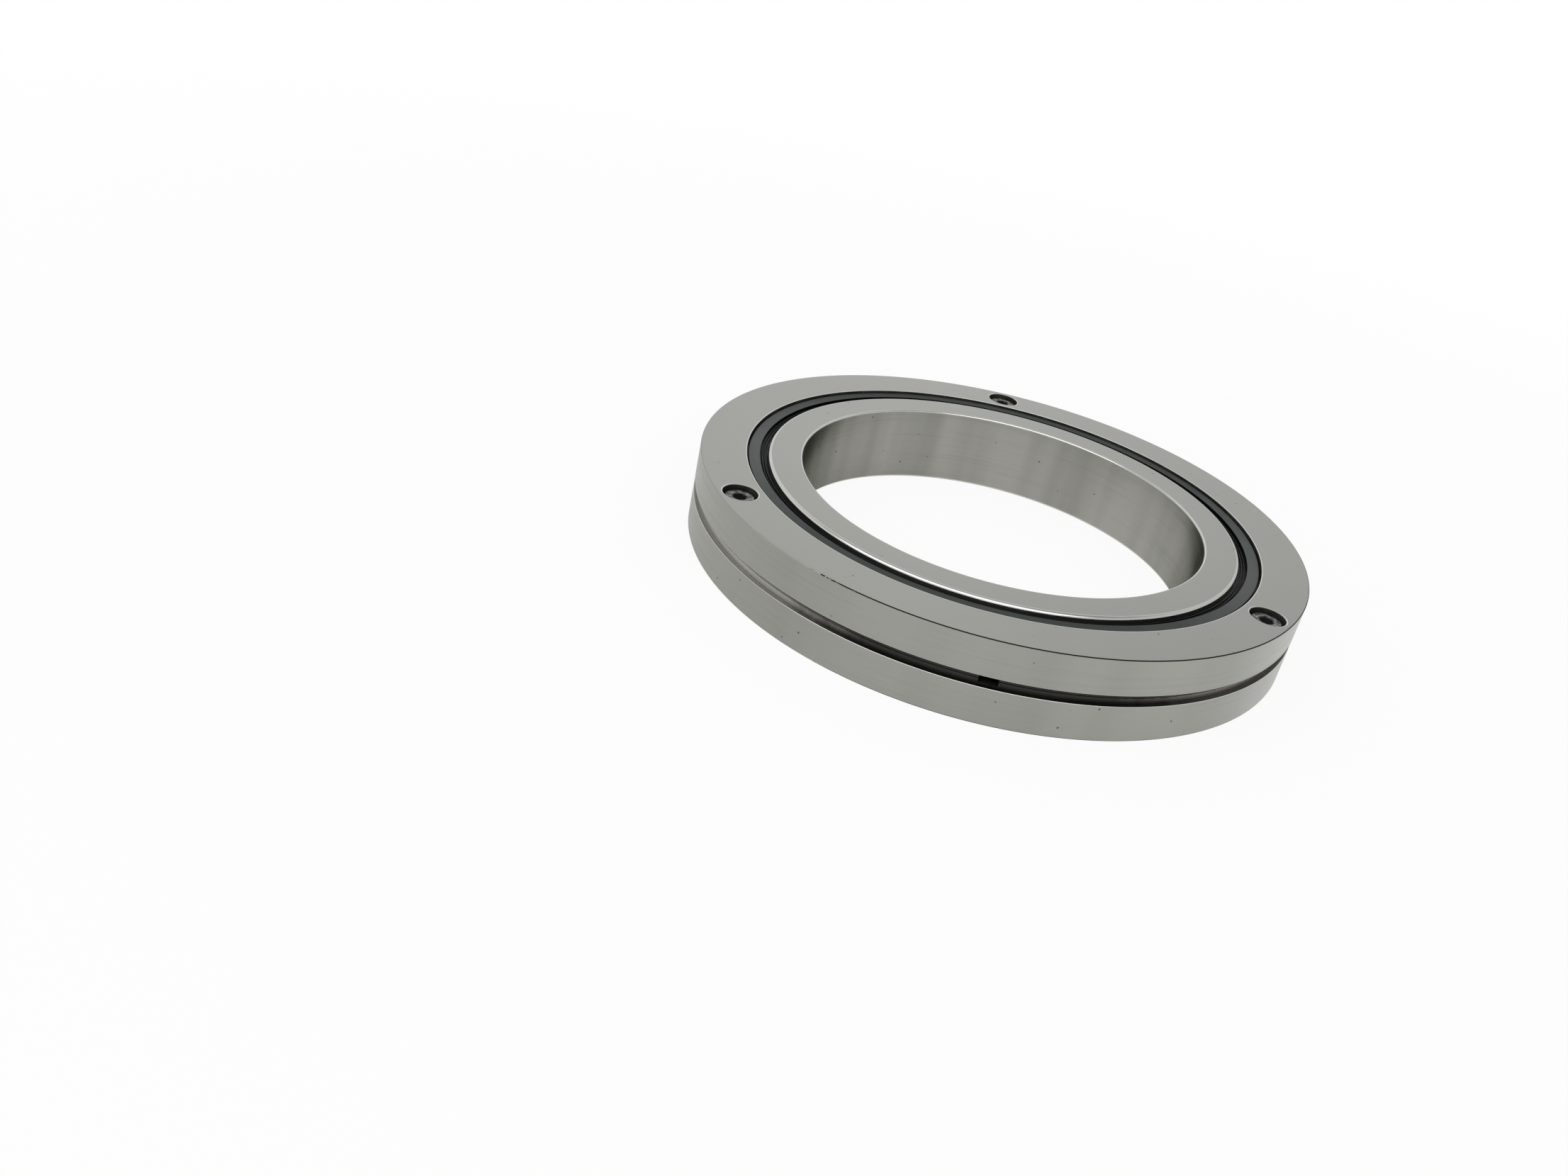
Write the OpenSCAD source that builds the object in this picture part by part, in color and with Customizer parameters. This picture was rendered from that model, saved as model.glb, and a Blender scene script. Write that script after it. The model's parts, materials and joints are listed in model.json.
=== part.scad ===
// Crossed roller bearing with a split outer ring, a one-piece inner ring and a seal on each face.
// The origin is the centre of the bore on the lower face, and the bearing's axis is +Z.

/* [Rings] */
// Diameter of the inner ring's bore
bore_d = 100; // [80:0.5:106]
// Diameter over the outer ring
outer_d = 150; // [149:0.5:180]
// Width of the bearing, the same for both rings
ring_w = 20; // [18:0.5:26]
// Radial gap between the two rings beside the raceways
ring_gap = 1.6; // [0.8:0.1:2.4]
// Chamfer at both ends of the bore
bore_edge = 0.5; // [0.2:0.1:1.5]
// Chamfer on the outer ring's two outside edges
outer_edge = 0.2; // [0.1:0.1:0.6]
// Radius on the inner ring's edges beside the seals
shoulder_edge = 0.8; // [0.3:0.1:1.2]
// Small break on the ground edges of grooves, recesses and holes
edge_break = 0.12; // [0.05:0.01:0.25]

/* [Rollers] */
// How far the rollers' circle lies inside the middle of the section
pitch_in = 1; // [0:0.1:1.5]
// Diameter of the circle through the rollers' centres
pitch_d = (bore_d + outer_d) / 2 - 2 * pitch_in;
// Diameter of a roller
roller_d = 6; // [5:0.1:6.6]
// How much shorter a roller is than its diameter
roller_short = 0.3; // [0.2:0.05:0.8]
// Chamfer on a roller's ends
roller_edge = 0.25; // [0.1:0.05:0.6]
// Number of rollers, every second one turned the other way
roller_count = 48; // [40:2:48]
// Running gap between a roller and each raceway
race_gap = 0.1; // [0.06:0.02:0.2]
// Width of the grinding relief at the root of each raceway
relief_w = 1; // [0.6:0.1:1.6]
// Depth of that relief past the raceway's own corner
relief_depth = 0.25; // [0.1:0.05:0.4]

/* [Spacers] */
// Room between a spacer's rim and the raceways, across its diameter
spacer_slack = 0.8; // [0.4:0.1:1.6]
// Width of a spacer along the pitch circle, over its ears
spacer_w = 4; // [3:0.1:4.6]
// Running gap between a spacer's hollow face and its roller
spacer_gap = 0.12; // [0.08:0.02:0.2]

/* [Seals] */
// How far the seal's recess reaches outwards from the pitch circle
seal_out = 2.25; // [1.8:0.05:2.8]
// How far the seal's track on the inner ring lies inwards from the pitch circle
seal_in = 3; // [2.6:0.05:3.4]
// Depth of the seal's face below the rings' faces
seal_recess = 0.6; // [0.3:0.05:1]
// Thickness of the seal at its bead
seal_t = 1.8; // [1.5:0.1:2.2]
// Height of the bead that snaps into the outer ring
bead_h = 1; // [0.6:0.1:1.2]
// How far the bead reaches into the outer ring
bead_catch = 0.4; // [0.2:0.05:0.6]
// Gap round the seal's face, beside the recess
rim_gap = 0.5; // [0.2:0.05:0.8]
// Inner edge of the seal's face, inwards from the pitch circle
face_in = 1; // [0.6:0.05:1.2]
// Depth of the lip's floor below the seal's face
lip_drop = 0.9; // [0.5:0.05:1.1]
// Height of the two ridges on the lip
ridge_h = 0.35; // [0.15:0.05:0.45]
// Running gap between the lip and its track
lip_gap = 0.1; // [0.06:0.02:0.2]
// Room for the bead in its groove
bead_gap = 0.05; // [0.02:0.01:0.1]
// Depth of the seal's track below the inner ring's faces
track_depth = 3; // [2.8:0.1:3.6]

/* [Oil supply] */
// Width of the oil groove round the outer ring
groove_w = 2.6; // [1.6:0.1:3.4]
// Depth of the oil groove
groove_depth = 1.2; // [0.6:0.1:1.6]
// Number of oil slots from the groove to the raceway
slot_count = 3; // [1:1:6]
// Width of an oil slot
slot_w = 4.3; // [2:0.1:5]
// Height of an oil slot, shared by both halves
slot_h = 2; // [0.8:0.1:2.2]

/* [Screws] */
// Number of screws that join the outer ring's halves
screw_count = 3; // [3:1:6]
// Wall between the seal's groove and the outside for which the screws' sizes across it are given
screw_wall = 10.85; // [9.5:0.05:12]
// Distance of the screws' centres from the outside of the ring
screw_inset = 5.45; // [5:0.05:5.6]
// Diameter of a screw's shank
screw_d = 4; // [3:0.1:4.2]
// Length of a screw under its head
screw_l = 10; // [8:0.5:12]
// Diameter of a screw's head
head_d = 7; // [5.5:0.1:7.4]
// Height of a screw's head
head_h = 4; // [3:0.1:4.4]
// Width across the flats of the hex socket
socket_w = 3; // [2:0.1:3.5]
// Depth of the hex socket
socket_depth = 2; // [1.2:0.1:2.6]
// Depth of the head's top below the ring's face
head_sink = 1; // [0.3:0.1:1.5]
// Gap round a head in its counterbore
head_gap = 0.65; // [0.2:0.05:0.8]
// Gap round a shank in the upper half
shank_gap = 0.25; // [0.1:0.05:0.35]
// Gap round a shank in the lower half's thread
thread_gap = 0.05; // [0.02:0.01:0.1]
// Hole left free below a screw's end
thread_spare = 1.5; // [0.5:0.1:2.5]

/* [Hidden] */
$fn = 96;

function roller_name(i) = str("roller_", i < 10 ? "0" : "", i);
function screw_name(i) = str("clamp_screw_", i);
rollers = [for (i = [1 : roller_count]) roller_name(i)];
screws = [for (i = [1 : screw_count]) screw_name(i)];

// Half the width, which is the height of the split and of the rollers' centres
half_w = ring_w / 2;
bore_r = bore_d / 2;
outer_r = outer_d / 2;
pitch_r = pitch_d / 2;

// A raceway is a 90 degree groove: its corner lies this far from the rollers' centres
race_reach = (roller_d / 2 + race_gap) * sqrt(2);
tilt = 45;
roller_step = 360 / roller_count;
roller_l = roller_d - roller_short;

// Radii of the seal, its recess and its track
recess_r = pitch_r + seal_out;
track_r = pitch_r - seal_in;
catch_r = recess_r + bead_catch;

// Heights over the split of the seal's face and seat
face_z = half_w - seal_recess;
seat_z = face_z - seal_t;

// A thinner or thicker wall gets smaller or larger screws
screw_fit = (outer_r - catch_r) / screw_wall;
shank_r = screw_d / 2 * screw_fit;
head_r = head_d / 2 * screw_fit;
hole_r = (head_d / 2 + head_gap) * screw_fit;

// Screws sit on this circle, from the first angle onwards, with the oil slots midway between them
screw_r = outer_r - screw_inset * screw_fit;
first_screw = 90;
screw_step = 360 / screw_count;
first_slot = first_screw + 180;
slot_step = 360 / slot_count;
seat_screw_z = half_w - head_sink - head_h;

steel = [0.64, 0.64, 0.62];
bright_steel = [0.78, 0.78, 0.78];
blackened_steel = [0.13, 0.13, 0.13];
dark_rubber = [0.3, 0.32, 0.31];
pale_nylon = [0.9, 0.88, 0.8];

// Extra length that takes a cut clear through a face
through = 1;

// Points of a quarter round, from the side of an edge to its top
function quarter_round(r, z, radius) = [
    for (a = [0 : 15 : 90]) [r - radius * (1 - cos(a)), z - radius * (1 - sin(a))]
];

function mirrored(points) = [for (i = [len(points) - 1 : -1 : 0]) [points[i][0], -points[i][1]]];

// Section of one half of the outer ring, from the split at z = 0 up to its face
module outer_half_section() {
    corner = pitch_r + race_reach;
    shoulder = pitch_r + ring_gap / 2;
    root = outer_r - groove_depth;
    polygon([
        [corner + relief_depth, 0],
        [corner + relief_depth, relief_w / 2],
        [corner - relief_w / 2, relief_w / 2],
        [shoulder, corner - shoulder],
        [shoulder, seat_z],
        [catch_r, seat_z],
        [catch_r, seat_z + bead_h],
        [recess_r, seat_z + bead_h],
        [recess_r, half_w - edge_break],
        [recess_r + edge_break, half_w],
        [outer_r - outer_edge, half_w],
        [outer_r, half_w - outer_edge],
        [outer_r, groove_w / 2 + edge_break],
        [outer_r - edge_break, groove_w / 2],
        [root, groove_w / 2],
        [root, 0]
    ]);
}

// Section of the inner ring, with the split's height at z = 0
module inner_section() {
    corner = pitch_r - race_reach;
    shoulder = pitch_r - ring_gap / 2;
    step_z = half_w - track_depth;
    upper = concat(
        [
            [corner - relief_depth, relief_w / 2],
            [corner + relief_w / 2, relief_w / 2],
            [shoulder, shoulder - corner],
            [shoulder, step_z],
            [track_r, step_z]
        ],
        quarter_round(track_r, half_w, shoulder_edge),
        [
            [bore_r + bore_edge, half_w],
            [bore_r, half_w - bore_edge]
        ]
    );
    polygon(concat(upper, mirrored(upper)));
}

// Section of a seal: bead, flat face, and a thinner lip with two ridges
module seal_section() {
    face_out_r = recess_r - rim_gap;
    face_in_r = pitch_r - face_in;
    tip_r = track_r + lip_gap;
    floor_z = face_z - lip_drop;
    lip_w = face_in_r - tip_r;
    ridge_w = lip_w / 6;
    underside_z = floor_z - (floor_z - seat_z) * 0.6;
    ridges = [
        for (k = [4, 2])
            for (p = [[1, 0], [0.6, ridge_h], [0.2, ridge_h], [-0.2, 0]])
                [tip_r + ridge_w * (k + p[0] - 0.4), floor_z + p[1]]
    ];
    polygon(concat(
        [
            [face_in_r, seat_z],
            [catch_r - bead_gap, seat_z],
            [catch_r - bead_gap, seat_z + bead_h - bead_gap],
            [face_out_r, seat_z + bead_h - bead_gap],
            [face_out_r, face_z - edge_break],
            [face_out_r - edge_break, face_z],
            [face_in_r + edge_break, face_z],
            [face_in_r, face_z - edge_break],
            [face_in_r, floor_z]
        ],
        ridges,
        [
            [tip_r, floor_z],
            [tip_r, underside_z]
        ]
    ));
}

// Oil slots through one half, cut along its split face
module oil_slots() {
    inside = pitch_r + race_reach - relief_w / 2 - through;
    for (k = [0 : slot_count - 1])
        rotate(first_slot + k * slot_step)
            translate([inside, -slot_w / 2, -slot_h / 2])
                cube([outer_r - groove_depth + through - inside, slot_w, slot_h]);
}

module at_screws() {
    for (k = [0 : screw_count - 1])
        rotate(first_screw + k * screw_step)
            translate([screw_r, 0, 0])
                children();
}

// Counterbored hole through the upper half, above the split
module screw_hole() {
    translate([0, 0, -through])
        cylinder(r = shank_r + shank_gap, h = seat_screw_z + 2 * through);
    translate([0, 0, seat_screw_z])
        cylinder(r = hole_r, h = half_w - seat_screw_z + through);
    translate([0, 0, half_w - edge_break])
        cylinder(r1 = hole_r, r2 = hole_r + 2 * edge_break, h = 2 * edge_break);
}

module outer_ring_upper() {
    color(steel)
        translate([0, 0, half_w])
            difference() {
                rotate_extrude() outer_half_section();
                oil_slots();
                at_screws() screw_hole();
            }
}

module outer_ring_lower() {
    depth = screw_l - seat_screw_z + thread_spare;
    color(steel)
        translate([0, 0, half_w])
            difference() {
                mirror([0, 0, 1]) rotate_extrude() outer_half_section();
                oil_slots();
                at_screws()
                    translate([0, 0, -depth])
                        cylinder(r = shank_r + thread_gap, h = depth + through);
            }
}

module inner_ring() {
    color(steel)
        translate([0, 0, half_w])
            rotate_extrude() inner_section();
}

module seal_upper() {
    color(dark_rubber)
        translate([0, 0, half_w])
            rotate_extrude() seal_section();
}

module seal_lower() {
    color(dark_rubber)
        translate([0, 0, half_w])
            mirror([0, 0, 1]) rotate_extrude() seal_section();
}

// Puts its children at a place on the pitch circle, counted in roller steps
module on_pitch(place) {
    rotate(place * roller_step)
        translate([pitch_r, 0, half_w])
            children();
}

// Leans its children the way that the roller of this number leans
module crossed(i) {
    rotate([0, i % 2 == 0 ? tilt : -tilt, 0])
        children();
}

module roller(i) {
    r = roller_d / 2;
    h = roller_l / 2;
    color(bright_steel)
        on_pitch(i - 1)
            crossed(i)
                rotate_extrude()
                    polygon([
                        [0, -h],
                        [r - roller_edge, -h],
                        [r, roller_edge - h],
                        [r, h - roller_edge],
                        [r - roller_edge, h],
                        [0, h]
                    ]);
}

// Round spacer with a hollow face for the roller on each side of it
module spacer(i) {
    difference() {
        on_pitch(i - 0.5)
            rotate([90, 0, 0])
                cylinder(d = roller_d - spacer_slack, h = spacer_w, center = true);
        for (neighbour = [i, i + 1])
            on_pitch(neighbour - 1)
                crossed(neighbour)
                    cylinder(r = roller_d / 2 + spacer_gap, h = 2 * roller_d, center = true);
    }
}

module spacers() {
    color(pale_nylon)
        for (i = [1 : roller_count])
            spacer(i);
}

// Socket head cap screw: a turned blank with a hex socket in its head
module clamp_screw(i) {
    color(blackened_steel)
        rotate(first_screw + (i - 1) * screw_step)
            translate([screw_r, 0, half_w + seat_screw_z])
                difference() {
                    rotate_extrude()
                        polygon([
                            [0, -screw_l],
                            [shank_r - 2 * edge_break, -screw_l],
                            [shank_r, 2 * edge_break - screw_l],
                            [shank_r, 0],
                            [head_r, 0],
                            [head_r, head_h - 2 * edge_break],
                            [head_r - 2 * edge_break, head_h],
                            [0, head_h]
                        ]);
                    translate([0, 0, head_h - socket_depth])
                        cylinder(d = socket_w * screw_fit / cos(30), h = socket_depth + through, $fn = 6);
                }
}

outer_ring_upper();
outer_ring_lower();
inner_ring();
seal_upper();
seal_lower();
spacers();
for (i = [1 : screw_count])
    clamp_screw(i);
for (i = [1 : roller_count])
    roller(i);
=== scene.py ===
# %% [markdown]
# A crossed roller bearing is two thick steel rings that turn on one row of short rollers.
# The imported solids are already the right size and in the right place, so this script keeps them as its frame.
# It spins finer rings, seals and screws over the plain ones, and gives each finish a material made of nodes.

# %% Load the frame
import json
import math

import bmesh
import bpy
from mathutils import Matrix, Quaternion, Vector


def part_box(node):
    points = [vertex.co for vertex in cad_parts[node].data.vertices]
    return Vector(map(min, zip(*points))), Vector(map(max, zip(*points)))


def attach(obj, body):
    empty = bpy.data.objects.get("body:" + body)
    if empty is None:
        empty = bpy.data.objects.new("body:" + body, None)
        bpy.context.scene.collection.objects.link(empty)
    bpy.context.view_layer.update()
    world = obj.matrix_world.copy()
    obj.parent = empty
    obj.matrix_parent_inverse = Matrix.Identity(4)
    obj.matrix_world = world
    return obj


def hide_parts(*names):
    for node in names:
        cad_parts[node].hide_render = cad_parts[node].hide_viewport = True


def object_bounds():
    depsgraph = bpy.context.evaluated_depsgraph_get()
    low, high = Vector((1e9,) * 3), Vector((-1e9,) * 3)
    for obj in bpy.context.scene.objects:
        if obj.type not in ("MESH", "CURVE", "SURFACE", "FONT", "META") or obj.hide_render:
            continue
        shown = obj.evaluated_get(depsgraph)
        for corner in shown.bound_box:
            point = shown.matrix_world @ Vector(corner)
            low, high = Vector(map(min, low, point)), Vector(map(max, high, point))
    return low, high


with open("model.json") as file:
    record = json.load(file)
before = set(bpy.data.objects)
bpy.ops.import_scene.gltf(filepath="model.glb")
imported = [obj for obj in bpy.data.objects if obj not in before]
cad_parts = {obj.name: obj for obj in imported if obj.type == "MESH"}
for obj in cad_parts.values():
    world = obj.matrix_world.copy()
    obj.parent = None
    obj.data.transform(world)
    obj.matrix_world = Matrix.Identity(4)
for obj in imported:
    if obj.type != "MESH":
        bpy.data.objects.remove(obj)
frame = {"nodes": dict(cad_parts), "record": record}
cad_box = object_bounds()

# %% [markdown]
# The main sizes come from the frame, so the looks follow the solids if those change.
# The two mounts give the fits: the bore for a shaft and the outside for a housing.
# Blender counts in metres and a bearing drawing in millimetres, so one factor turns the one into the other.

# %% Main sizes
MM = 0.001
TURN = 2 * math.pi
fits = {mount["name"]: mount["dims"] for mount in frame["record"]["mounts"]}
bore_r = fits["bore"]["r_mm"]
outer_r = fits["outer_diameter"]["r_mm"]
width = (cad_box[1].z - cad_box[0].z) / MM
split = width / 2
pitch_r = sum(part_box("roller_01"), Vector()).x / 2 / MM
print(f"bore {bore_r}, outside {outer_r}, width {width:.2f}, rollers on {pitch_r:.2f} mm")

# %% [markdown]
# The camera stands where the photographer stood: in front, a little above and tipped to one side.
# Its lens is worked out from the picture's width in pixels, so one pixel here is one pixel of the photograph.
# The bearing sits right of the middle in the photograph, so the camera looks at a point left of it.

# %% Camera
PICTURE_W = 2212
FOCAL_PIXELS = 1926.1
SENSOR = 36.0
camera_place = Vector((-33.49, -313.73, 148.62)) * MM
camera_aim = Vector((-47.67, 0.0, -19.93)) * MM
camera_roll = 12.16

camera = bpy.data.objects.new("camera", bpy.data.cameras.new("camera"))
camera.data.sensor_width = SENSOR
camera.data.lens = SENSOR * FOCAL_PIXELS / PICTURE_W
camera.data.clip_start = 0.01
level = (camera_aim - camera_place).to_track_quat("-Z", "Y")
turned = level @ Quaternion((0, 0, 1), math.radians(camera_roll))
camera.matrix_world = Matrix.Translation(camera_place) @ turned.to_matrix().to_4x4()
bpy.context.scene.collection.objects.link(camera)
bpy.context.scene.camera = camera
bpy.context.scene.view_settings.view_transform = "Standard"
print(f"lens {camera.data.lens:.2f} mm, {camera_place.length:.3f} m from the origin")

# %% [markdown]
# Every material is a small graph of nodes, and adding a node is always the same work:
# make it, set its own properties, and give each input a value or a link. One function does that.
# Colours are written as a person reads them off a screen, and a second function turns them to linear light.


# %% Helpers for materials
def srgb(code):
    """An sRGB hex colour as the linear colour that a socket takes."""
    parts = [int(code[i:i + 2], 16) / 255 for i in (1, 3, 5)]
    linear = [c / 12.92 if c <= 0.04045 else ((c + 0.055) / 1.055) ** 2.4 for c in parts]
    return (*linear, 1.0)


def add(tree, kind, feeds=None, **settings):
    """Add a node. Settings are its properties, and feeds gives inputs a value or a link."""
    made = tree.nodes.new(kind)
    for name, value in settings.items():
        setattr(made, name, value)
    for socket, value in (feeds or {}).items():
        if isinstance(value, bpy.types.NodeSocket):
            tree.links.new(value, made.inputs[socket])
        else:
            made.inputs[socket].default_value = value
    return made


def new_finish(name):
    """A material, its tree, its main shader, and the place on the piece that its patterns read."""
    finish = bpy.data.materials.new(name)
    finish.use_nodes = True
    tree = finish.node_tree
    place = add(tree, "ShaderNodeTexCoord").outputs["Object"]
    return finish, tree, tree.nodes["Principled BSDF"], place


# Places of the two colours and the result on a Mix node that is set to mix colours.
# On a Map Range node, places 1 and 2 are the range that comes in, and 3 and 4 the range that goes out.
MIX_A, MIX_B, MIX_OUT = 6, 7, 2
print("middle grey in linear light:", round(srgb("#808080")[0], 3))

# %% [markdown]
# Polished metal has almost no colour of its own: it shows what stands round it.
# The world is therefore nearly white at the horizon and dimmer overhead, like a pale studio,
# and a little dimmer to both sides, where the studio's walls would be.
# Only the camera sees it as plain white.

# %% World
# Heights of a direction between which the horizon passes into the ceiling, and the strengths of the two
CEILING_FROM, CEILING_TO = 0.56, 0.88
HORIZON, OVERHEAD = 0.95, 0.54
# Sideways parts of a direction between which each side wall sets in, and the share of light that it leaves
RIGHT_FROM, RIGHT_TO, RIGHT_SHARE = 0.0, 0.4, 0.76
LEFT_FROM, LEFT_TO, LEFT_SHARE = 0.02, -0.13, 0.9
world = bpy.data.worlds.new("studio")
bpy.context.scene.world = world
world.use_nodes = True
tree = world.node_tree
path = add(tree, "ShaderNodeLightPath")
aim = add(tree, "ShaderNodeTexCoord")
way = add(tree, "ShaderNodeSeparateXYZ", {0: aim.outputs["Generated"]})
ceiling = add(
    tree,
    "ShaderNodeMapRange",
    {0: way.outputs["Z"], 1: CEILING_FROM, 2: CEILING_TO, 3: HORIZON, 4: OVERHEAD},
    interpolation_type="SMOOTHSTEP",
)
right_wall = add(
    tree,
    "ShaderNodeMapRange",
    {0: way.outputs["X"], 1: RIGHT_FROM, 2: RIGHT_TO, 3: 1.0, 4: RIGHT_SHARE},
    interpolation_type="SMOOTHSTEP",
)
left_wall = add(
    tree,
    "ShaderNodeMapRange",
    {0: way.outputs["X"], 1: LEFT_TO, 2: LEFT_FROM, 3: LEFT_SHARE, 4: 1.0},
)
walls = add(tree, "ShaderNodeMath", {0: left_wall.outputs[0], 1: right_wall.outputs[0]}, operation="MULTIPLY")
room = add(tree, "ShaderNodeMath", {0: ceiling.outputs[0], 1: walls.outputs[0]}, operation="MULTIPLY")
seen = add(
    tree,
    "ShaderNodeMix",
    {0: path.outputs["Is Camera Ray"], 2: room.outputs[0], 3: 1.0},
    data_type="FLOAT",
)
background = tree.nodes["Background"]
background.inputs["Color"].default_value = (1.0, 1.0, 1.0, 1.0)
tree.links.new(seen.outputs[0], background.inputs["Strength"])
print("world from", HORIZON, "at the horizon to", OVERHEAD, "overhead")

# %% [markdown]
# One wide softbox hangs in front, above the camera. It lights the floor and the dark pieces,
# and the rounded edges mirror it as a bright line. It is wide, so that the line runs far round each ring.

# %% Softbox
# Direction from the bearing to the softbox, its distance, its width and height in metres, and its watts
SOFTBOX_WAY = Vector((-0.15, -0.5, 0.84)).normalized()
SOFTBOX_AWAY = 1.15
SOFTBOX_SIZE = (2.2, 0.8)
SOFTBOX_WATTS = 8.2
softbox = bpy.data.objects.new("softbox", bpy.data.lights.new("softbox", "AREA"))
softbox.data.shape = "RECTANGLE"
softbox.data.size, softbox.data.size_y = SOFTBOX_SIZE
softbox.data.energy = SOFTBOX_WATTS
softbox.location = SOFTBOX_WAY * SOFTBOX_AWAY
softbox.rotation_euler = SOFTBOX_WAY.to_track_quat("Z", "Y").to_euler()
bpy.context.scene.collection.objects.link(softbox)
print("softbox", SOFTBOX_SIZE, "m,", SOFTBOX_WATTS, "W,", SOFTBOX_AWAY, "m away")

# %% [markdown]
# The floor is one pale sheet. What the camera sees of it is mostly plain white,
# and a share of ordinary pale paint keeps the shadow under the bearing.
# Farther off the paint's share fades out, so the floor runs into the white background.
# The steel sees mostly paint at the left and more white at the right,
# which shades the outside from one side to the other.

# %% Floor paint
# The white's share for the camera, and the distances in metres between which it grows to the whole
CAMERA_WHITE = 0.9
FADE_FROM, FADE_TO = 0.12, 0.6
# The white's share for the steel at the left and at the right, and how far to each side that is, in metres
GLOSSY_LEFT, GLOSSY_RIGHT = 0.03, 0.65
LEFT_END, RIGHT_END = -0.096, 0.064
floor_paint, tree, paint, spot = new_finish("white_floor_paint")
paint.inputs["Base Color"].default_value = srgb("#e6e6e4")
paint.inputs["Roughness"].default_value = 0.9
path = add(tree, "ShaderNodeLightPath")
glossy = add(
    tree,
    "ShaderNodeMath",
    {0: path.outputs["Is Glossy Ray"], 1: path.outputs["Is Transmission Ray"]},
    operation="MAXIMUM",
)
away = add(tree, "ShaderNodeVectorMath", {0: spot}, operation="LENGTH").outputs["Value"]
whiter = add(tree, "ShaderNodeMapRange", {0: away, 1: FADE_FROM, 2: FADE_TO, 3: CAMERA_WHITE, 4: 1.0})
sideways = add(tree, "ShaderNodeSeparateXYZ", {0: spot}).outputs["X"]
shiny = add(
    tree,
    "ShaderNodeMapRange",
    {0: sideways, 1: LEFT_END, 2: RIGHT_END, 3: GLOSSY_LEFT, 4: GLOSSY_RIGHT},
)
glossy_share = add(tree, "ShaderNodeMath", {0: glossy.outputs[0], 1: shiny.outputs[0]}, operation="MULTIPLY")
camera_share = add(
    tree,
    "ShaderNodeMath",
    {0: path.outputs["Is Camera Ray"], 1: whiter.outputs[0]},
    operation="MULTIPLY",
)
share = add(
    tree,
    "ShaderNodeMath",
    {0: glossy_share.outputs[0], 1: camera_share.outputs[0]},
    operation="MAXIMUM",
)
glow = add(tree, "ShaderNodeEmission", {"Color": (1.0, 1.0, 1.0, 1.0), "Strength": 1.0})
sheet = add(
    tree,
    "ShaderNodeMixShader",
    {0: share.outputs[0], 1: paint.outputs[0], 2: glow.outputs[0]},
)
tree.links.new(sheet.outputs[0], tree.nodes["Material Output"].inputs["Surface"])
print(floor_paint.name, len(tree.nodes), "nodes")

# %% [markdown]
# The sheet itself is a single square, far wider than the picture, so that its edge never shows.
# It lies a hair below the bearing, because two faces at one height would flicker into each other.
# It belongs to the stage and not to the part.

# %% Floor
# Half its width in metres, and how far below the bearing it lies
FLOOR_REACH = 4.0
FLOOR_DROP = 0.02 * MM
bm = bmesh.new()
bmesh.ops.create_grid(bm, x_segments=1, y_segments=1, size=FLOOR_REACH)
bmesh.ops.translate(bm, verts=bm.verts, vec=(0, 0, cad_box[0].z - FLOOR_DROP))
floor_mesh = bpy.data.meshes.new("floor")
bm.to_mesh(floor_mesh)
bm.free()
floor_mesh.materials.append(floor_paint)
floor = bpy.data.objects.new("floor", floor_mesh)
bpy.context.scene.collection.objects.link(floor)
print(f"floor {2 * FLOOR_REACH} m wide")

# %% [markdown]
# Marks on a turned piece run round its axis, so a pattern needs a space that runs round it too.
# It is made of the direction round the axis, lifted by the sum of radius and height.
# A line then runs round the outside and round the flat face alike, with no seam.


# %% Space round the axis
def round_axis(tree, place):
    """The part of a place that lies across the axis, and its direction."""
    flat = add(tree, "ShaderNodeVectorMath", {0: place, 1: (1, 1, 0)}, operation="MULTIPLY")
    way = add(tree, "ShaderNodeVectorMath", {0: flat.outputs[0]}, operation="NORMALIZE")
    return flat.outputs[0], way.outputs[0]


def ring_space(tree, place_mm):
    """A place's direction round the axis, lifted by its radius and height in millimetres."""
    flat, way = round_axis(tree, place_mm)
    radius = add(tree, "ShaderNodeVectorMath", {0: flat}, operation="LENGTH")
    rise = add(tree, "ShaderNodeSeparateXYZ", {0: place_mm})
    across = add(tree, "ShaderNodeMath", {0: radius.outputs["Value"], 1: rise.outputs["Z"]}, operation="ADD")
    lift = add(tree, "ShaderNodeCombineXYZ", {"Z": across.outputs[0]})
    lay = add(tree, "ShaderNodeVectorMath", {0: way, 1: lift.outputs[0]}, operation="ADD")
    return lay.outputs[0]


print("a pattern runs", round(TURN * outer_r), "mm round the outside")

# %% [markdown]
# Handling leaves small dark specks and dents in steel, scattered without order.
# A Voronoi texture gives each cell a middle and a colour of its own by chance.
# A speck is drawn round the middle, in those cells whose colour falls in the upper half.

# %% Specks
# Specks and small dents a little over half a millimetre across, in every second cell
SPECK_CELL = 4.2
SPECK_R = 0.32
SPECK_SHARE = 0.5


def specks(tree, place_mm):
    """How much of a speck there is at a place."""
    cells = add(tree, "ShaderNodeTexVoronoi", {"Vector": place_mm, "Scale": 1 / SPECK_CELL})
    edge = SPECK_R / SPECK_CELL
    near = add(
        tree,
        "ShaderNodeMapRange",
        {0: cells.outputs["Distance"], 1: 0.4 * edge, 2: edge, 3: 0.85, 4: 0.0},
    )
    chosen = add(tree, "ShaderNodeSeparateColor", {0: cells.outputs["Color"]})
    rare = add(tree, "ShaderNodeMath", {0: chosen.outputs[0], 1: SPECK_SHARE}, operation="GREATER_THAN")
    speck = add(tree, "ShaderNodeMath", {0: near.outputs[0], 1: rare.outputs[0]}, operation="MULTIPLY")
    return speck.outputs[0]


print("specks", 2 * SPECK_R, "mm across, in cells of", SPECK_CELL, "mm")

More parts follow.
